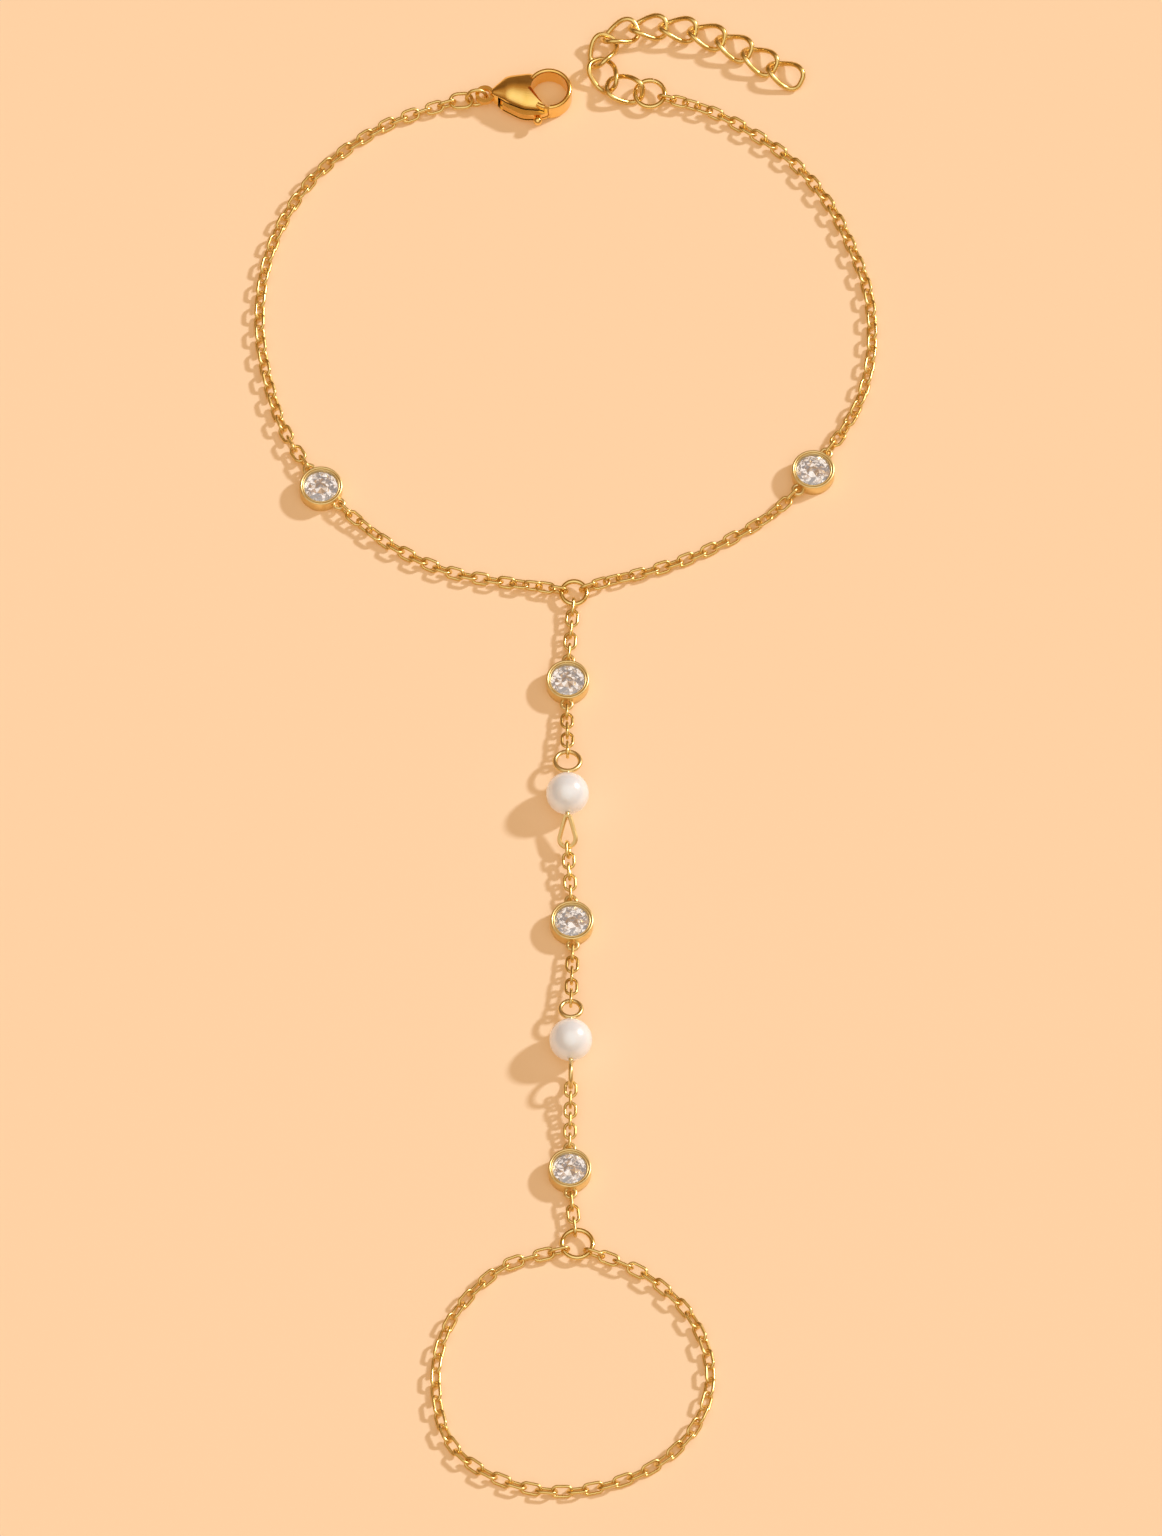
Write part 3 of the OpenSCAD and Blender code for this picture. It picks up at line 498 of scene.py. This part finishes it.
def cut_stone(centre, turn):
    """Ring points r (cos a, sin a, z) from the table down to the culet, joined by facets.

    The angle a runs on from the turn in equal steps. The third value marks the facets with foil.
    """
    rings = []
    for count, radius, height, first, drop in STONE_RINGS:
        a = np.radians(first + turn + 360 / count * np.arange(count))
        heights = height - drop * (np.arange(count) % 2)
        rings.append(np.stack([radius * np.cos(a), radius * np.sin(a), heights], -1))
    points = np.vstack(rings + [[[0, 0, CULET_Z]]]) + centre
    counts = [row[0] for row in STONE_RINGS]
    crown, upper, lower, back, star, culet = np.cumsum(counts)
    few, many = counts[0], counts[2]
    k, m = np.arange(few), np.arange(many)
    n, p = (k + 1) % few, (m + 1) % many
    above = [(k, n, crown + k), (n, upper + 2 * n, crown + k), (k, crown + k, upper + 2 * k),
             (crown + k, upper + 1 + 2 * k, upper + 2 * k), (crown + k, upper + 2 * n, upper + 1 + 2 * k)]
    below = [(lower + m, lower + p, back + m), (lower + p, back + p, back + m),
             (back + (2 * k - 1) % many, back + 2 * k, star + k), (back + 2 * k, back + 2 * k + 1, star + n),
             (back + 2 * k, star + n, star + k), (star + k, star + n, culet + 0 * k)]
    faces = [k[None, ::-1], np.vstack([np.stack(row, -1) for row in above]),
             np.stack([upper + m, upper + p, lower + p, lower + m], -1),
             np.vstack([np.stack(row, -1) for row in below])]
    foiled = np.repeat([False, True], [sum(map(len, faces[:3])), len(faces[3])])
    return points, faces, foiled


# How far each stone is turned in its setting, in degrees
STONE_TURNS = (7, 31, 12, 40, 22)
for k, turn in enumerate(STONE_TURNS, 1):
    points, faces, foiled = cut_stone(seat_of(k), turn)
    make_piece(f"cut_stone_{k}", [(points, faces)], [clear, foil], f"stone_{k}",
               smooth=0, second=foiled)
print("facets on each stone:", len(foiled))

# %% [markdown]
# A pearl is a white ball under many thin clear layers. They could be built
# one by one, but one clear coat over a milky body looks the same: a soft
# gloss, and light that goes deep into the body and lifts its shaded side.
# On top of that comes a painted sheen and shade: at a flat angle the white
# base colour turns towards a greyish rose. A faint glow gives back the light
# that a short render loses inside.

# %% Pearls
nacre, tree, shader = new_finish("nacre", Coat_Weight=1.0, Coat_IOR=1.9, Specular_IOR_Level=0.8,
                                 Subsurface_Weight=0.7, Subsurface_Radius=(1, 0.85, 0.8),
                                 Subsurface_Scale=0.0018, Emission_Color=(1.0, 0.93, 0.85, 1),
                                 Emission_Strength=0.16)
white = between(tree, wander(tree, 0, 1, 450, 3), (0.74, 0.77, 0.81), (0.67, 0.70, 0.75))
# Painted sheen and shade: the base colour turns from white to a greyish rose where the surface turns away
# from the view
edge = add(tree, "LayerWeight", Blend=0.4).outputs["Facing"]
painted_rim_sheen = add(tree, "Mix", {"data_type": "RGBA"}, _0=edge)
tree.links.new(white, painted_rim_sheen.inputs["A"])
painted_rim_sheen.inputs["B"].default_value = (0.74, 0.71, 0.76, 1)
tree.links.new(painted_rim_sheen.outputs["Result"], shader.inputs["Base Color"])
tree.links.new(wander(tree, 0.3, 0.4, 1200, 3), shader.inputs["Roughness"])
tree.links.new(wander(tree, 0.12, 0.18, 900, 3), shader.inputs["Coat Roughness"])
relief(tree, shader, wander(tree, 0, 1, 700, 4), 0.00002, 0.1)
PEARLS = ["pearl_1", "pearl_2"]
dress(nacre, *PEARLS)
print("pearls:", len(PEARLS))
